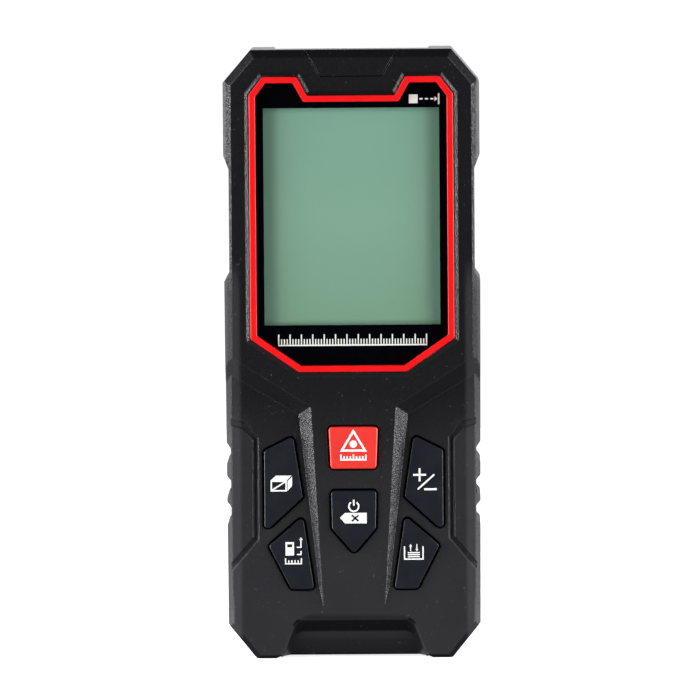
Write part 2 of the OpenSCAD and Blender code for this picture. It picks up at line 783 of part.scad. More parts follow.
module battery_door() {
    color([0.13, 0.13, 0.14]) difference() {
        union() {
            difference() {
                block([-door_w / 2, y_door, door_z], [door_w / 2, y_back, door_top]);
                block([-door_w / 2 - 1, y_door - 1, door_z - 1], [door_w / 2 + 1, y_back + 1, door_z + 1.4]);
                // Ribbed thumb grip near the catch
                for (i = [0:4]) block([-7, y_back - 0.5, door_top - 12 + 1.8 * i], [7, y_back + 1, door_top - 11.2 + 1.8 * i]);
            }
            both_sides() {
                rod_x(pin_y, door_z, barrel_r, barrel_x - barrel_l / 2, barrel_x + barrel_l / 2);
                block([barrel_x - barrel_l / 2, pin_y - 0.7, door_z], [barrel_x + barrel_l / 2, pin_y + 0.7, door_z + 1.5]);
            }
        }
        rod_x(pin_y, door_z, pin_r + 0.05, -door_w, door_w);
    }
}

module door_pad() {
    color([0.25, 0.25, 0.27]) block([-9, y_door - 0.4, 20], [9, y_door, 52]);
}

module hinge_pin() {
    color([0.75, 0.75, 0.77]) rod_x(pin_y, door_z, pin_r, -door_w / 2 - 2, door_w / 2 + 2);
}

module tripod_insert() {
    color([0.8, 0.62, 0.3]) difference() {
        rod_y(0, insert_z, insert_r, y_back - 7.8, y_back - 0.2);
        rod_y(0, insert_z, thread_d / 2, y_back - 0.2 - thread_l, y_back + 1);
    }
}

module rating_label() {
    color([0.75, 0.75, 0.75]) block([-13.8, y_back - 0.2, z_top - 33.8], [13.8, y_back - 0.08, z_top - 16.2]);
}

// ---- fasteners ---------------------------------------------------------

// A cross-head screw along Y, its head at depth y_head and its point at depth y_end
module screw(x, z, r, big_r, y_end, y_head, head_t) {
    side = y_head > y_end ? 1 : -1;
    slot = big_r * 0.62;
    difference() {
        union() {
            rod_y(x, z, r, min(y_end, y_head), max(y_end, y_head));
            rod_y(x, z, big_r, min(y_head, y_head - side * head_t), max(y_head, y_head - side * head_t));
        }
        for (w = [[slot, 0.18], [0.18, slot]])
            block([x - w[0], y_head - head_t / 2, z - w[1]], [x + w[0], y_head + head_t / 2, z + w[1]]);
    }
}

module case_screws() {
    color([0.3, 0.3, 0.32]) both_sides() for (z = case_screw_z)
        screw(screw_x, z, screw_r, head_r, y_pcb_back + 0.8, y_back - 2.2, 1.4);
}

module pcb_screws() {
    color([0.6, 0.6, 0.62]) both_sides() for (at = pcb_screw_at)
        screw(at.x, at.y, pcb_screw_r, 1.5, y_pcb - 2.8, y_pcb_back + 0.9, 0.9);
}

module bench_screws() {
    color([0.6, 0.6, 0.62]) for (at = bench_screw_at)
        screw(at.x, at.y, pcb_screw_r, 1.4, y_back - 0.8, y_rear_inside - 2.9, 1);
}

front_cover();
nose_tab();
bezel_ring();
display_window();
window_mask();
lcd_polarizer();
lcd_glass();
lcd_frame();
backlight_guide();
zebra_strip();
main_pcb();
pcb_chips();
buzzer();
dome_contacts();
keypad_sheet();
measure_key();
power_key();
volume_key();
plus_minus_key();
unit_key();
memory_key();
measure_pill();
power_pill();
volume_pill();
plus_minus_pill();
unit_pill();
memory_pill();
rear_cover();
housing_gasket();
end_plate();
receiver_window();
beam_window();
optics_bench();
receiver_lens();
lens_ring();
infrared_filter();
detector_can();
detector_board();
laser_diode();
collimator_lens();
collimator_ring();
sensor_ribbon();
cell_left();
cell_right();
bridge_contact();
negative_contact();
positive_contact();
battery_leads();
battery_door();
door_pad();
hinge_pin();
tripod_insert();
rating_label();
case_screws();
pcb_screws();
bench_screws();
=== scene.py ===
"""Looks for the laser distance meter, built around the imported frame. Metres, +Z up, face towards -Y."""

import json
import math

import bmesh
import bpy
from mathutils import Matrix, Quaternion, Vector
from mathutils.bvhtree import BVHTree


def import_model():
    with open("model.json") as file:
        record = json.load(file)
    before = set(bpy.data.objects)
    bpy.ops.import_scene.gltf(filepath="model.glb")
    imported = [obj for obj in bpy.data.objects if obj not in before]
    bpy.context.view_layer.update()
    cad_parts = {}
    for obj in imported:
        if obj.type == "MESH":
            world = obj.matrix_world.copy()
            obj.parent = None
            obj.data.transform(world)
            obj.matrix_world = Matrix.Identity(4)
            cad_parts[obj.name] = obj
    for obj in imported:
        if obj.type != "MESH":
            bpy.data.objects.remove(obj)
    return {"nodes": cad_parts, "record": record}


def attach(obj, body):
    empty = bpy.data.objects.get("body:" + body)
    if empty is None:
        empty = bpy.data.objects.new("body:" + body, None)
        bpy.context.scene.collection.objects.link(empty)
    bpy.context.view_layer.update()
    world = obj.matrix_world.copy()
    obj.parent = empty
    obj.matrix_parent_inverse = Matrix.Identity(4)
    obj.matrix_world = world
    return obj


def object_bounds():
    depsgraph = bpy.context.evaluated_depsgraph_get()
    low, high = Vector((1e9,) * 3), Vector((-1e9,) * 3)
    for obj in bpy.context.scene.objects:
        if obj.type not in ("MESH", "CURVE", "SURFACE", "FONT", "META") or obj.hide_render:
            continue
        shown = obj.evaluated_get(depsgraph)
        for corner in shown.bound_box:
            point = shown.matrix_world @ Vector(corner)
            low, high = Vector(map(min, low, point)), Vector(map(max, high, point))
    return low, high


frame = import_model()
cad_box = [list(corner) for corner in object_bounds()]
MM = 0.001
CASE_H = cad_box[1][2]  # the case stands on z = 0
WHITE = (1, 1, 1, 1)


# ---- node helpers ------------------------------------------------------

MATERIALS = {}  # by name, filled as each one is made


class Mat:
    """A procedural material: one Principled shader and small helpers that add nodes to it."""

    def __init__(self, name, **sockets):
        self.mat = bpy.data.materials.new(name)
        MATERIALS[name] = self.mat
        self.mat.use_nodes = True
        self.tree = self.mat.node_tree
        self.shader = self.tree.nodes["Principled BSDF"]
        for key, value in sockets.items():
            self.shader.inputs[key.replace("_", " ")].default_value = value

    def node(self, kind, **props):
        made = self.tree.nodes.new(kind)
        for key, value in props.items():
            setattr(made, key, value)
        return made

    def link(self, source, target):
        self.tree.links.new(source, target)

    def place(self):
        """Object coordinates, in metres, the same as the part's frame."""
        return self.node("ShaderNodeTexCoord").outputs["Object"]

    def noise(self, size, detail=2.0, rough=0.5):
        """Noise whose features are about size metres across."""
        made = self.node("ShaderNodeTexNoise")
        made.inputs["Scale"].default_value = 1.0 / size
        made.inputs["Detail"].default_value = detail
        made.inputs["Roughness"].default_value = rough
        self.link(self.place(), made.inputs["Vector"])
        return made.outputs["Fac"]

    def ramp(self, fac, *stops):
        """A colour or value ramp: stops are (position, colour or number)."""
        made = self.node("ShaderNodeValToRGB")
        cells = made.color_ramp.elements
        while len(cells) < len(stops):
            cells.new(0.5)
        for cell, (position, colour) in zip(cells, stops):
            cell.position = position
            cell.color = (*colour, 1) if isinstance(colour, tuple) else (colour, colour, colour, 1)
        self.link(fac, made.inputs["Fac"])
        return made.outputs["Color"]

    def math(self, kind, a, b=None, c=None):
        made = self.node("ShaderNodeMath", operation=kind)
        for slot, value in zip(made.inputs, (a, b, c)):
            if value is None:
                continue
            if isinstance(value, (int, float)):
                slot.default_value = value
            else:
                self.link(value, slot)
        return made.outputs[0]

    def mix(self, fac, a, b):
        made = self.node("ShaderNodeMix", data_type="RGBA")
        for key, value in ((0, fac), (6, a), (7, b)):
            if isinstance(value, (int, float)):
                made.inputs[key].default_value = value
            elif isinstance(value, tuple):
                made.inputs[key].default_value = (*value, 1)
            else:
                self.link(value, made.inputs[key])
        return made.outputs[2]

    def axis(self, letter):
        """One component of the place, in metres."""
        made = self.node("ShaderNodeSeparateXYZ")
        self.link(self.place(), made.inputs[0])
        return made.outputs[letter]

    def facing(self, letter):
        """One component of the smooth surface normal."""
        made = self.node("ShaderNodeSeparateXYZ")
        self.link(self.node("ShaderNodeNewGeometry").outputs["Normal"], made.inputs[0])
        return made.outputs[letter]

    def bump(self, height, distance):
        made = self.node("ShaderNodeBump")
        made.inputs["Distance"].default_value = distance
        made.inputs["Strength"].default_value = 1.0
        self.link(height, made.inputs["Height"])
        return made.outputs["Normal"]

    def set(self, **links):
        """Feeds the shader's sockets from node outputs."""
        for key, value in links.items():
            self.link(value, self.shader.inputs[key.replace("_", " ")])


# ---- materials ---------------------------------------------------------


def textured_plastic(name, dark, painted_sheen_colour, rough=0.32, grain=0.34 * MM, depth=0.17 * MM):
    """Spark-eroded black moulding: grains that glint on the slopes, specks of dust, and a painted sheen that
    makes the lower half and the side edges beside it paler.
    """
    reach = 25 * MM  # just past the case's side walls
    painted_sheen_top = 56 * MM  # the painted sheen lies below this height
    m = Mat(name, Specular_IOR_Level=0.5)
    up = m.math("MULTIPLY", m.axis("Z"), 1.0 / CASE_H)
    out = m.math("MULTIPLY", m.math("ABSOLUTE", m.axis("X")), 1.0 / reach)

    # The grain shows on slopes that look sideways, and fades away inside the foot scoop
    grains = m.node("ShaderNodeTexVoronoi", feature="F1")
    grains.inputs["Scale"].default_value = 1.0 / grain
    m.link(m.place(), grains.inputs["Vector"])
    fine = m.noise(grain * 0.7, detail=2.0, rough=0.7)
    height = m.math("MULTIPLY_ADD", fine, 0.9, grains.outputs["Distance"])
    sideways = m.math("SUBTRACT", m.math("ABSOLUTE", m.facing("X")), m.math("ABSOLUTE", m.facing("Z")))
    above_scoop = m.ramp(up, (0.07, 0.1), (0.09, 1.0))
    slope = m.math("MULTIPLY", m.ramp(sideways, (0.25, 0.15), (0.55, 1.0)), above_scoop)

    # Painted light: the lower half and the side edges beside it are painted paler, standing in for the
    # brighter light there, except where they look down
    upright = m.ramp(m.math("ADD", m.facing("Z"), 0.5), (0.24, 0.0), (0.46, 1.0))
    painted_sheen_height = m.math("MULTIPLY", m.axis("Z"), 1.0 / painted_sheen_top)
    low = m.ramp(painted_sheen_height, (0.32, 1.0), (0.68, 0.55), (0.92, 0.0))
    painted_sheen_edges = m.math("MULTIPLY", m.ramp(out, (0.75, 0.0), (0.80, 1.0)), m.ramp(low, (0.12, 0.0), (0.35, 1.0)))
    cloud = m.ramp(m.noise(9 * MM, detail=3.0), (0.3, 0.8), (0.7, 1.0))
    painted_sheen = m.math("MULTIPLY", m.math("MULTIPLY", m.math("MAXIMUM", low, painted_sheen_edges), upright), cloud)
    colour = m.mix(painted_sheen, dark, painted_sheen_colour)
    dust = m.math("MULTIPLY", m.ramp(m.noise(0.6 * MM, detail=1.0), (0.73, 0.0), (0.80, 1.0)), 0.6)

    # The side edges of the lower body are rubbed duller
    rubbed = m.math("MULTIPLY", m.ramp(out, (0.86, 0.0), (0.90, 1.0)), m.ramp(up, (0.60, 1.0), (0.66, 0.0)))
    even = m.math("MULTIPLY_ADD", fine, 0.22, rough - 0.11)
    spread = m.math("MULTIPLY_ADD", rubbed, 0.42, even)
    m.set(
        Base_Color=m.mix(dust, colour, (0.10, 0.10, 0.11)), Roughness=spread,
        Normal=m.bump(m.math("MULTIPLY", height, slope), depth)
    )


def smooth_plastic(name, dark, light, rough=0.38, grain=0.12 * MM, depth=0.004 * MM, coat=0.0, shine=0.5):
    """Satin moulding with a faint orange peel and slight roughness variation."""
    m = Mat(name, Coat_Weight=coat, Coat_Roughness=0.1, Specular_IOR_Level=shine)
    fine = m.noise(grain, detail=3.0)
    peel = m.noise(grain * 14, detail=1.0)
    height = m.math("MULTIPLY_ADD", peel, 0.8, fine)
    spread = m.math("MULTIPLY_ADD", m.noise(3 * MM, detail=4.0), 0.14, rough - 0.07)
    m.set(
        Base_Color=m.mix(m.noise(6 * MM), dark, light), Roughness=spread, Normal=m.bump(height, depth)
    )


def metal(name, colour, rough=0.3, grain=0.15 * MM, depth=0.006 * MM):
    """Machined, plated or cast metal with tone and roughness variation."""
    m = Mat(name, Metallic=1.0)
    fine = m.noise(grain, detail=4.0)
    tone = m.mix(m.noise(2.5 * MM, detail=4.0), tuple(c * 0.82 for c in colour), colour)
    spread = m.math("MULTIPLY_ADD", fine, 0.25, rough - 0.1)
    m.set(Base_Color=tone, Roughness=spread, Normal=m.bump(fine, depth))


def glass(name, tint):
    """Optical glass with a faint smear in its polish."""
    m = Mat(name, Transmission_Weight=1.0, IOR=1.5)
    smear = m.noise(7 * MM, detail=5.0)
    spread = m.math("MULTIPLY_ADD", smear, 0.03, 0.02)
    m.set(Base_Color=m.mix(smear, tint, tuple(min(1, c * 1.06) for c in tint)), Roughness=spread)


def window_glass():
    """The thin hard-coated window: see-through with a soft reflection, cast as a plain transparent sheet."""
    m = Mat("window_clear")
    clear = m.node("ShaderNodeBsdfTransparent")
    clear.inputs["Color"].default_value = (0.97, 0.985, 0.975, 1)
    gloss = m.node("ShaderNodeBsdfGlossy")
    m.link(m.math("MULTIPLY_ADD", m.noise(8 * MM, detail=5.0), 0.05, 0.03), gloss.inputs["Roughness"])
    facing = m.node("ShaderNodeFresnel")
    facing.inputs["IOR"].default_value = 1.4
    outside = m.math("SUBTRACT", 1.0, m.node("ShaderNodeNewGeometry").outputs["Backfacing"])
    mixed = m.node("ShaderNodeMixShader")
    m.link(m.math("MULTIPLY", facing.outputs[0], outside), mixed.inputs[0])
    m.link(clear.outputs[0], mixed.inputs[1])
    m.link(gloss.outputs[0], mixed.inputs[2])
    m.link(mixed.outputs[0], m.tree.nodes["Material Output"].inputs["Surface"])


def thread_brass(colour, pitch=1.27 * MM):
    """Turned brass with the tripod thread's ridges down its bore."""
    m = Mat("brass_insert", Metallic=1.0)
    ridges = m.math("SINE", m.math("MULTIPLY", m.axis("Y"), 2 * math.pi / pitch))
    bore = m.ramp(m.math("ABSOLUTE", m.facing("Y")), (0.3, 1.0), (0.5, 0.0))
    fine = m.noise(0.2 * MM, detail=4.0)
    tone = m.mix(m.noise(2 * MM, detail=3.0), tuple(c * 0.8 for c in colour), colour)
    spread = m.math("MULTIPLY_ADD", fine, 0.2, 0.2)
    m.set(Base_Color=tone, Roughness=spread, Normal=m.bump(m.math("MULTIPLY", ridges, bore), 0.3 * MM))


def battery_cell(across, depth, ends):
    """A dry cell: printed sleeve with two plain bands, steel where the can ends and the nub show."""
    m = Mat("cell_wrap", Coat_Weight=0.4, Coat_Roughness=0.08)
    x = m.math("SUBTRACT", m.math("ABSOLUTE", m.axis("X")), across)
    y = m.math("SUBTRACT", m.axis("Y"), depth)
    off_axis = m.math("SQRT", m.math("ADD", m.math("MULTIPLY", x, x), m.math("MULTIPLY", y, y)))
    nub = m.math("LESS_THAN", off_axis, 3.2 * MM)
    flat = m.math("GREATER_THAN", m.math("ABSOLUTE", m.facing("Z")), 0.7)
    steel = m.math("MAXIMUM", nub, flat)
    up = m.math("MULTIPLY_ADD", m.axis("Z"), 1.0 / (ends[1] - ends[0]), -ends[0] / (ends[1] - ends[0]))
    low_band = m.math("COMPARE", up, 0.24, 0.035)
    high_band = m.math("COMPARE", up, 0.78, 0.015)
    sleeve = m.mix(m.noise(4 * MM, detail=3.0), (0.016, 0.075, 0.26), (0.022, 0.095, 0.31))
    banded = m.mix(m.math("MAXIMUM", low_band, high_band), sleeve, (0.72, 0.72, 0.70))
    scuff = m.noise(0.8 * MM, detail=5.0)
    m.set(
        Base_Color=m.mix(steel, banded, (0.66, 0.65, 0.62)), Metallic=steel,
        Roughness=m.math("MULTIPLY_ADD", scuff, 0.2, 0.18), Normal=m.bump(scuff, 0.01 * MM)
    )


def lcd_panel(half_width, bottom, height, shade_width):
    """Grey-green panel: a soft vertical drift, a darker strip of painted shade at each side for the shadow of
    the window's side walls, and a fine pixel grid.
    """
    cell, gap = 0.45 * MM, 0.03 * MM
    m = Mat("lcd_green", Specular_IOR_Level=0.1)
    inwards = [(half_width - shade_width * share) / half_width for share in (1.3, 0.9, 0.2)]
    across = m.math("MULTIPLY", m.math("ABSOLUTE", m.axis("X")), 1.0 / half_width)
    # Painted shade: a darker strip at each side, standing in for the shadow the window's side walls cast on
    # the sunken panel
    painted_side_shade = m.ramp(across, *zip(inwards, (0.0, 0.82, 1.0)))
    up = m.math("MULTIPLY_ADD", m.axis("Z"), 1.0 / height, -bottom / height)
    low, middle, high = (0.216, 0.370, 0.265), (0.245, 0.415, 0.324), (0.222, 0.405, 0.320)
    base = m.ramp(up, (0.0, low), (0.5, middle), (1.0, high))
    speck = m.noise(0.5 * MM, detail=2.0)
    toned = m.mix(m.math("MULTIPLY", speck, 0.10), base, (0.10, 0.20, 0.16))
    # The panel colour with the painted side shade mixed in
    side = m.mix(painted_side_shade, toned, (0.190, 0.338, 0.255))
    grid = m.node("ShaderNodeTexBrick", offset=0.0)
    for key, value in (("Scale", 1.0), ("Brick Width", cell), ("Row Height", cell), ("Mortar Size", gap)):
        grid.inputs[key].default_value = value
    turned = m.node("ShaderNodeMapping")
    turned.inputs["Rotation"].default_value = (math.radians(90), 0, 0)
    m.link(m.place(), turned.inputs["Vector"])
    m.link(turned.outputs[0], grid.inputs["Vector"])
    final = m.mix(m.math("MULTIPLY", grid.outputs["Fac"], 0.05), side, (0.05, 0.10, 0.08))
    spread = m.math("MULTIPLY_ADD", m.noise(0.2 * MM), 0.1, 0.42)
    m.set(Base_Color=final, Roughness=spread)


# The second colour of each is the painted sheen, the paler tone painted on the lower half and the side edges
# beside it
textured_plastic("case_plastic", (0.0058, 0.0058, 0.0078), (0.0225, 0.0225, 0.0262))
textured_plastic("rear_plastic", (0.0058, 0.0058, 0.0074), (0.0110, 0.0110, 0.0128), depth=0.05 * MM)
textured_plastic(
    "end_plastic", (0.006, 0.006, 0.007), (0.009, 0.009, 0.010), grain=0.2 * MM, depth=0.05 * MM
)
smooth_plastic("red_gloss", (0.72, 0.004, 0.006), (0.79, 0.006, 0.008), rough=0.36, shine=0.4)
smooth_plastic("red_key", (0.73, 0.029, 0.021), (0.79, 0.037, 0.028), rough=0.42)
smooth_plastic(
    "key_black", (0.0038, 0.0054, 0.0098), (0.0052, 0.0072, 0.0125), rough=0.40, depth=0.006 * MM
)
smooth_plastic("mask_ink", (0.0008, 0.0008, 0.0022), (0.0014, 0.0014, 0.0032), rough=0.6, shine=0.0)
smooth_plastic("print_white", (0.90, 0.90, 0.89), (0.95, 0.95, 0.94), rough=0.5, depth=0.002 * MM)
smooth_plastic("white_plastic", (0.70, 0.70, 0.66), (0.80, 0.80, 0.76))
smooth_plastic("zebra_rubber", (0.35, 0.20, 0.24), (0.45, 0.28, 0.32), rough=0.7)
smooth_plastic("board_green", (0.010, 0.090, 0.030), (0.016, 0.125, 0.045), rough=0.3, coat=0.3)
smooth_plastic("chip_black", (0.020, 0.020, 0.021), (0.030, 0.030, 0.031), rough=0.55)
smooth_plastic("grey_rubber", (0.060, 0.060, 0.064), (0.085, 0.085, 0.090), rough=0.7)
smooth_plastic("carbon_rubber", (0.012, 0.012, 0.012), (0.018, 0.018, 0.018), rough=0.8)
smooth_plastic("ribbon_film", (0.45, 0.17, 0.02), (0.58, 0.24, 0.04), rough=0.25)
smooth_plastic("lead_red", (0.45, 0.015, 0.015), (0.60, 0.03, 0.03))
smooth_plastic(
    "foam", (0.030, 0.030, 0.032), (0.060, 0.060, 0.064), rough=0.9, grain=0.3 * MM, depth=0.08 * MM
)
smooth_plastic("label_film", (0.42, 0.42, 0.42), (0.52, 0.52, 0.52), rough=0.3, coat=0.3)
metal("gold_metal", (0.80, 0.60, 0.25), rough=0.28)
metal("cast_alloy", (0.55, 0.55, 0.57), rough=0.5, grain=0.35 * MM, depth=0.03 * MM)
metal("spring_steel", (0.62, 0.61, 0.58), rough=0.28)
metal("black_steel", (0.10, 0.10, 0.105), rough=0.4)
thread_brass((0.72, 0.52, 0.22))
glass("clear_glass", (0.93, 0.97, 1.0))
glass("filter_glass", (0.35, 0.01, 0.02))
battery_cell(across=5.45 * MM, depth=5.5 * MM, ends=(14 * MM, 58 * MM))
window_glass()
# The last figure is the width of the painted shade at each side of the panel
lcd_panel(half_width=17 * MM, bottom=64.6 * MM, height=42 * MM, shade_width=2.4 * MM)


def paint(obj, key):
    obj.data.materials.clear()
    obj.data.materials.append(MATERIALS[key])


# ---- CAD nodes: finish and edge rounding -------------------------------

SLOT_OF = {part["node"]: part["material_slot"] for part in frame["record"]["subparts"]}

# Finishes that differ from the slot's own
FINISH = {"rear_cover": "rear_plastic", "battery_door": "rear_plastic", "hinge_pin": "black_steel"}

KEYS = ("measure_key", "power_key", "volume_key", "plus_minus_key", "unit_key", "memory_key")

# Edge rounding in millimetres, by node; everything else gets SMALL_EDGE
SMALL_EDGE = 0.06
EDGE = {
    "front_cover": 0.2, "rear_cover": 0.2, "nose_tab": 0.2, "battery_door": 0.2, "bezel_ring": 0.14,
    "end_plate": 0.15, "optics_bench": 0.2, "keypad_sheet": 0.15, "door_pad": 0.15, "display_window": 0.05,
    "case_screws": 0.05, "lcd_glass": 0.05, "tripod_insert": 0.1, **dict.fromkeys(KEYS, 0.45),
}
NO_DISSOLVE = {"battery_door"}
NO_BEVEL = {"bridge_contact", "negative_contact", "battery_leads", "cell_left", "cell_right", "window_mask"}

# These are rounded by the whole width, however short the edges beside it are
FULL_WIDTH = {"front_cover", "rear_cover", "nose_tab"}

WELD_GAP = 0.002 * MM
FLAT_WITHIN = math.radians(0.5)
SHARP_OVER = math.radians(24)


def refine(obj, width, dissolve, full):
    """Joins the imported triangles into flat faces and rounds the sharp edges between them."""
    weld = obj.modifiers.new("weld", "WELD")
    weld.merge_threshold = WELD_GAP
    if dissolve:
        flat = obj.modifiers.new("flat", "DECIMATE")
        flat.decimate_type = "DISSOLVE"
        flat.angle_limit = FLAT_WITHIN
    if full:
        split = obj.modifiers.new("split", "TRIANGULATE")
        split.ngon_method = "BEAUTY"
        split.min_vertices = 5
    bevel = obj.modifiers.new("bevel", "BEVEL")
    bevel.width = width * MM
    bevel.segments = 3
    bevel.limit_method = "ANGLE"
    bevel.angle_limit = SHARP_OVER
    bevel.use_clamp_overlap = not full
    bevel.loop_slide = not full
    bevel.miter_outer = "MITER_ARC"
    bevel.harden_normals = False
    normals = obj.modifiers.new("normals", "WEIGHTED_NORMAL")
    normals.keep_sharp = False
    normals.weight = 80


for name, obj in frame["nodes"].items():
    paint(obj, FINISH.get(name, SLOT_OF[name]))
    for face in obj.data.polygons:
        face.use_smooth = True
    if name not in NO_BEVEL:
        refine(obj, EDGE.get(name, SMALL_EDGE), name not in NO_DISSOLVE, name in FULL_WIDTH)


# ---- printed legends ----------------------------------------------------

PRINT_T = 0.012  # thickness of a print, millimetres
OUTSIDE = 0.1  # well clear of the case's front and back, metres


class Print:
    """A flat print: shapes drawn in millimetres as the viewer sees them, laid on a node's front or back."""

    def __init__(self, name, node, body, origin=(0, 0), scale=1.0, lift=0.0, back=False):
        self.name, self.body = name, body
        self.origin, self.scale = origin, scale
        self.lift = lift
        self.way = 1 if back else -1
        self.mesh = bmesh.new()
        self.tree = BVHTree.FromObject(frame["nodes"][node], bpy.context.evaluated_depsgraph_get())

    def at(self, x, z):
        """A drawn point in the part's frame: (x, z) in millimetres."""
        return -self.way * (self.origin[0] + x * self.scale), self.origin[1] + z * self.scale

    def surface(self, x, z):
        """Depth of the node's surface at a point, in metres."""
        hit = self.tree.ray_cast(Vector((x * MM, OUTSIDE * self.way, z * MM)), Vector((0, -self.way, 0)))
        return hit[0].y

    def polygon(self, points):
        """A filled outline, anticlockwise as the viewer sees it."""
        placed = [self.at(x, z) for x, z in points]
        rings = []
        for lift in (PRINT_T, 0.0):
            rings.append([
                self.mesh.verts.new((x * MM, self.surface(x, z) + (lift + self.lift) * self.way * MM, z * MM))
                for x, z in placed
            ])
        front, back = rings
        self.mesh.faces.new(front)
        self.mesh.faces.new(back[::-1])
        for i in range(len(front)):
            j = (i + 1) % len(front)
            self.mesh.faces.new((front[j], front[i], back[i], back[j]))

    def box(self, x0, z0, x1, z1):
        self.polygon([(x0, z0), (x1, z0), (x1, z1), (x0, z1)])

    def bar(self, x0, z0, x1, z1, width):
        """A straight stroke with square ends."""
        length = math.hypot(x1 - x0, z1 - z0)
        nx, nz = -(z1 - z0) / length * width / 2, (x1 - x0) / length * width / 2
        self.polygon([(x0 - nx, z0 - nz), (x1 - nx, z1 - nz), (x1 + nx, z1 + nz), (x0 + nx, z0 + nz)])

    def stroke(self, points, width, closed=False):
        """A mitred line of even width through the points."""
        count = len(points)
        sides = []
        for i, (x, z) in enumerate(points):
            before = points[i - 1] if i or closed else None
            after = points[(i + 1) % count] if i < count - 1 or closed else None
            normals = []
            for p, q in ((before, (x, z)), ((x, z), after)):
                if p and q:
                    length = math.hypot(q[0] - p[0], q[1] - p[1])
                    normals.append((-(q[1] - p[1]) / length, (q[0] - p[0]) / length))
            nx, nz = (sum(n[k] for n in normals) for k in (0, 1))
            scale = width / 2 * len(normals) / (nx * nx + nz * nz)
            scale = scale if len(normals) == 2 else width / 2
            sides.append(((x + nx * scale, z + nz * scale), (x - nx * scale, z - nz * scale)))
        for i in range(count if closed else count - 1):
            (l0, r0), (l1, r1) = sides[i], sides[(i + 1) % count]
            self.polygon([r0, r1, l1, l0])

    def disc(self, x, z, r, steps=28):
        turns = [2 * math.pi * i / steps for i in range(steps)]
        self.polygon([(x + r * math.cos(a), z + r * math.sin(a)) for a in turns])

    def arc(self, x, z, r, start, end, width, steps=24):
        turns = [math.radians(start + (end - start) * i / steps) for i in range(steps + 1)]
        self.stroke([(x + r * math.cos(a), z + r * math.sin(a)) for a in turns], width)

    def done(self, key="print_white"):
        """Makes the print an object that moves with its body."""
        data = bpy.data.meshes.new(self.name)
        self.mesh.normal_update()
        self.mesh.to_mesh(data)
        obj = bpy.data.objects.new(self.name, data)
        bpy.context.scene.collection.objects.link(obj)
        paint(obj, key)
        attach(obj, self.body)


def ticks(p, x0, x1, z, count, tall, short, every, width):
    """A ruler: a row of strokes standing on z, every so many of them tall."""
    for i in range(count):
        x = x0 + (x1 - x0) * i / (count - 1)
        p.box(x - width / 2, z, x + width / 2, z + (tall if i % every == 0 else short))


def middle(node, shift=(0, 0)):
    """The middle of a CAD node's box, shifted: (x, z) in millimetres."""
    points = [vertex.co for vertex in frame["nodes"][node].data.vertices]
    x, z = ((min(at[k] for at in points) + max(at[k] for at in points)) / 2 / MM for k in (0, 2))
    return x + shift[0], z + shift[1]


def key_print(key, shift, scale=1.0, cut=False):
    """The legend on a key's cap, or a cut: black shapes that lie on top of it."""
    name = f"{key}_legend_cut" if cut else f"{key}_legend"
    origin = middle(f"{key}_key", shift)
    return Print(name, f"{key}_key", f"{key}_button", origin, scale, PRINT_T if cut else 0.0)


def measure_legend():
    """A warning triangle with a spot, over a short scale."""
    p = key_print("measure", (0, 1.1))
    p.stroke([(-2.25, -1.6), (2.25, -1.6), (0, 2.15)], 0.42, closed=True)
    p.disc(0, -0.35, 0.72)
    p.box(-2.55, -3.55, 2.55, -3.2)
    ticks(p, -2.4, 2.4, -3.2, 9, 0.85, 0.5, 4, 0.3)
    p.done()


def power_legend():
    """The standby sign over a rub-out tag with a cross cut in it."""
    raised = (0, 1.804)
    p = key_print("power", raised)
    p.arc(0, 1.35, 0.95, 125, 415, 0.3)
    p.bar(0, 1.5, 0, 2.65, 0.32)
    p.polygon([(-2.7, -0.85), (-1.7, -1.95), (2.5, -1.95), (2.5, 0.1), (-1.7, 0.1)])
    p.done()
    p = key_print("power", raised, cut=True)
    p.bar(-0.4, -1.5, 0.9, -0.35, 0.34)
    p.bar(-0.4, -0.35, 0.9, -1.5, 0.34)
    p.done("key_black")


def volume_legend():
    """A box with one open face."""
    p = key_print("volume", (-0.426, 0.271), 0.93)
    p.stroke([(-2.1, -1.55), (1.0, -1.55), (1.0, 0.45), (-2.1, 0.45)], 0.3, closed=True)
    p.bar(-2.0, -1.45, 0.9, 0.35, 0.3)
    p.polygon([(-2.25, 0.6), (1.15, 0.6), (2.15, 1.6), (-1.1, 1.6)])
    p.polygon([(1.3, -1.6), (2.25, -0.5), (2.25, 1.35), (1.3, 0.45)])
    p.done()


def plus_minus_legend():
    """A plus and a minus parted by a slanted bar."""
    p = key_print("plus_minus", (0.156, 0.571), 0.93)
    p.bar(-2.4, 1.25, 0.3, 1.25, 0.42)
    p.bar(-1.05, -0.1, -1.05, 2.6, 0.42)
    p.bar(-1.45, -1.75, 2.0, 1.3, 0.36)
    p.bar(-0.1, -1.75, 2.5, -1.75, 0.42)
    p.done()


def unit_legend():
    """A meter between two reference edges, over a scale."""
    shift = (0.409, 0.66)
    p = key_print("unit", shift)
    p.box(-1.55, -1.25, 0.1, 1.35)
    p.stroke([(0.65, 0.35), (1.45, 0.35), (1.45, 1.95)], 0.24)
    p.stroke([(0.65, -1.05), (1.45, -1.05), (1.45, -0.35)], 0.24)
    p.polygon([(1.1, 1.75), (1.8, 1.75), (1.45, 2.3)])
    ticks(p, -1.55, 1.5, -2.75, 6, 1.0, 0.6, 5, 0.24)
    p.box(-1.67, -2.95, 1.62, -2.72)
    p.done()
    p = key_print("unit", shift, cut=True)
    p.box(-1.2, 0.35, -0.25, 0.95)
    p.done("key_black")


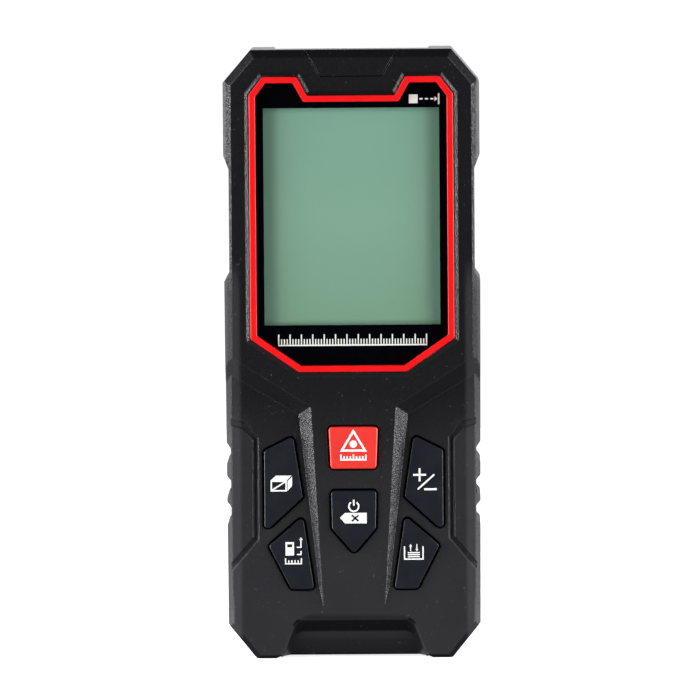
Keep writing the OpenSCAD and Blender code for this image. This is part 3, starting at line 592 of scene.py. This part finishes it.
def memory_legend():
    """A tray of sheets with one going in and one coming out."""
    p = key_print("memory", (-0.609, 0.01), 0.92)
    p.stroke([(-1.95, 1.15), (-1.95, -1.55), (1.95, -1.55), (1.95, 1.15)], 0.28)
    for level in (-1.05, -0.62, -0.2):
        p.box(-1.25, level - 0.12, 1.25, level + 0.12)
    p.bar(-0.65, 0.1, -0.65, 1.5, 0.2)
    p.bar(0.65, 0.3, 0.65, 1.6, 0.2)
    p.polygon([(-1.0, 1.05), (-0.3, 1.05), (-0.65, 1.65)])
    p.polygon([(0.65, 0.05), (1.0, 0.6), (0.3, 0.6)])
    p.done()


def window_prints():
    """A graduated scale under the display and a beam sign above it, printed on the mask."""
    p = Print("window_scale", "window_mask", "case", middle("window_mask", (0, -23.25)))
    ticks(p, -14.3, 14.3, 0, 53, 1.9, 1.0, 4, 0.24)
    p.box(-14.42, -0.34, 14.42, -0.04)
    p.done()
    p = Print("window_beam", "window_mask", "case", middle("window_mask", (14.2, 24.1)))
    p.box(-3.0, -0.85, -1.3, 0.85)
    for i in range(3):
        p.bar(-0.95 + 1.05 * i, 0, -0.35 + 1.05 * i, 0, 0.28)
    p.bar(2.75, -1.05, 2.75, 1.05, 0.3)
    p.polygon([(1.95, -0.45), (2.55, 0), (1.95, 0.45)])
    p.done()


def label_print():
    """The rating label: a frame, a warning triangle with a beam spot, a few plain rules and a scale."""
    p = Print("label_print", "rating_label", "case", middle("rating_label"), back=True)
    p.stroke([(-13.1, -8.1), (13.1, -8.1), (13.1, 8.1), (-13.1, 8.1)], 0.3, closed=True)
    p.stroke([(-11.3, -1.6), (-3.9, -1.6), (-7.6, 5.0)], 0.6, closed=True)
    p.disc(-7.6, 0.7, 0.75)
    for level in range(4):
        p.box(-1.5, 4.6 - 2.1 * level, 11.2 - 1.3 * (level % 2), 5.1 - 2.1 * level)
    p.box(-11.3, -4.4, 11.2, -4.1)
    ticks(p, -11.1, 11.0, -6.6, 24, 1.3, 0.7, 4, 0.25)
    p.done("key_black")


measure_legend()
power_legend()
volume_legend()
plus_minus_legend()
unit_legend()
memory_legend()
window_prints()
label_print()

# ---- stage, light and camera -------------------------------------------


def stage():
    """A pale round floor. It isn't mirrored in the part and throws no light back on it."""
    bpy.ops.mesh.primitive_circle_add(vertices=96, radius=0.55, fill_type="NGON", location=(0, 0.02, 0))
    floor = bpy.context.object
    floor.name = "floor"
    floor.visible_glossy = False
    floor.visible_diffuse = False
    floor.visible_shadow = False
    m = Mat("floor_paper", Emission_Strength=0.8)
    m.shader.inputs["Emission Color"].default_value = WHITE
    tone = m.mix(m.noise(0.02, detail=4.0), (0.90, 0.90, 0.90), (0.94, 0.94, 0.94))
    m.set(Base_Color=tone)
    floor.data.materials.append(m.mat)


def softbox(name, at, target, size, power):
    """A white rectangular lamp at a place, turned to a target; size is (width, height) in metres."""
    data = bpy.data.lights.new(name, "AREA")
    data.shape = "RECTANGLE"
    data.size, data.size_y = size
    data.energy = power
    lamp = bpy.data.objects.new(name, data)
    bpy.context.scene.collection.objects.link(lamp)
    lamp.location = at
    lamp.rotation_euler = (Vector(target) - Vector(at)).to_track_quat("-Z", "Y").to_euler()


def world():
    """A studio that is white behind the object and dark in front of it; the camera sees white all round."""
    made = bpy.data.worlds.new("studio")
    bpy.context.scene.world = made
    made.use_nodes = True
    tree = made.node_tree
    place = tree.nodes.new("ShaderNodeTexCoord")
    split = tree.nodes.new("ShaderNodeSeparateXYZ")
    tree.links.new(place.outputs["Generated"], split.inputs[0])
    sweep = tree.nodes.new("ShaderNodeMapRange")
    sweep.interpolation_type = "SMOOTHSTEP"
    for key, value in (("From Min", 0.45), ("From Max", 0.95), ("To Min", 0.02), ("To Max", 1.15)):
        sweep.inputs[key].default_value = value
    tree.links.new(split.outputs["Y"], sweep.inputs["Value"])
    fill = tree.nodes["Background"]
    fill.inputs["Color"].default_value = WHITE
    tree.links.new(sweep.outputs["Result"], fill.inputs["Strength"])
    white = tree.nodes.new("ShaderNodeBackground")
    white.inputs["Color"].default_value = WHITE
    white.inputs["Strength"].default_value = 1.05
    path = tree.nodes.new("ShaderNodeLightPath")
    mixed = tree.nodes.new("ShaderNodeMixShader")
    tree.links.new(path.outputs["Is Camera Ray"], mixed.inputs[0])
    tree.links.new(fill.outputs[0], mixed.inputs[1])
    tree.links.new(white.outputs[0], mixed.inputs[2])
    tree.links.new(mixed.outputs[0], tree.nodes["World Output"].inputs["Surface"])


def camera():
    """Long lens, aimed at the case's middle from a little above it, rolled by a fraction of a degree."""
    distance = 1.5
    shown = 136.47 * MM  # width of the view at the object
    aim = Vector((-0.64 * MM, 0, CASE_H / 2 + 0.09 * MM))
    elevation, side, roll = (math.radians(turn) for turn in (3.8, 0.6, -0.43))
    level = math.cos(elevation)
    back = Vector((level * math.sin(side), -level * math.cos(side), math.sin(elevation)))
    data = bpy.data.cameras.new("camera")
    data.sensor_width = 36
    data.lens = data.sensor_width * distance / shown
    data.clip_start = 0.1
    data.clip_end = 10
    cam = bpy.data.objects.new("camera", data)
    bpy.context.scene.collection.objects.link(cam)
    cam.location = aim + back * distance
    cam.rotation_euler = ((-back).to_track_quat("-Z", "Y") @ Quaternion((0, 0, 1), roll)).to_euler()
    bpy.context.scene.camera = cam


def lights():
    """A key, a rim and a back lamp at each side, stronger left in front and right behind, and a low card."""
    face = (0, 0, 60 * MM)
    for side, label in ((-1, "left"), (1, "right")):
        softbox(f"{label}_key", (0.60 * side, -0.31, 0.10), face, (0.5, 0.6), 7.0 - 0.4 * side)
        softbox(f"{label}_rim", (0.60 * side, 0.0, 0.08), face, (0.15, 0.35), 4.9 - 0.4 * side)
        softbox(f"{label}_back", (0.42 * side, 0.42, 0.20), (0, 0, 0.09), (0.12, 0.2), 0.23 + 0.15 * side)
    softbox("low_card", (0, -0.25, -0.14), (0, 0, 0.02), (0.4, 0.22), 0.07)


stage()
lights()
world()
camera()
bpy.context.scene.view_settings.view_transform = "Standard"
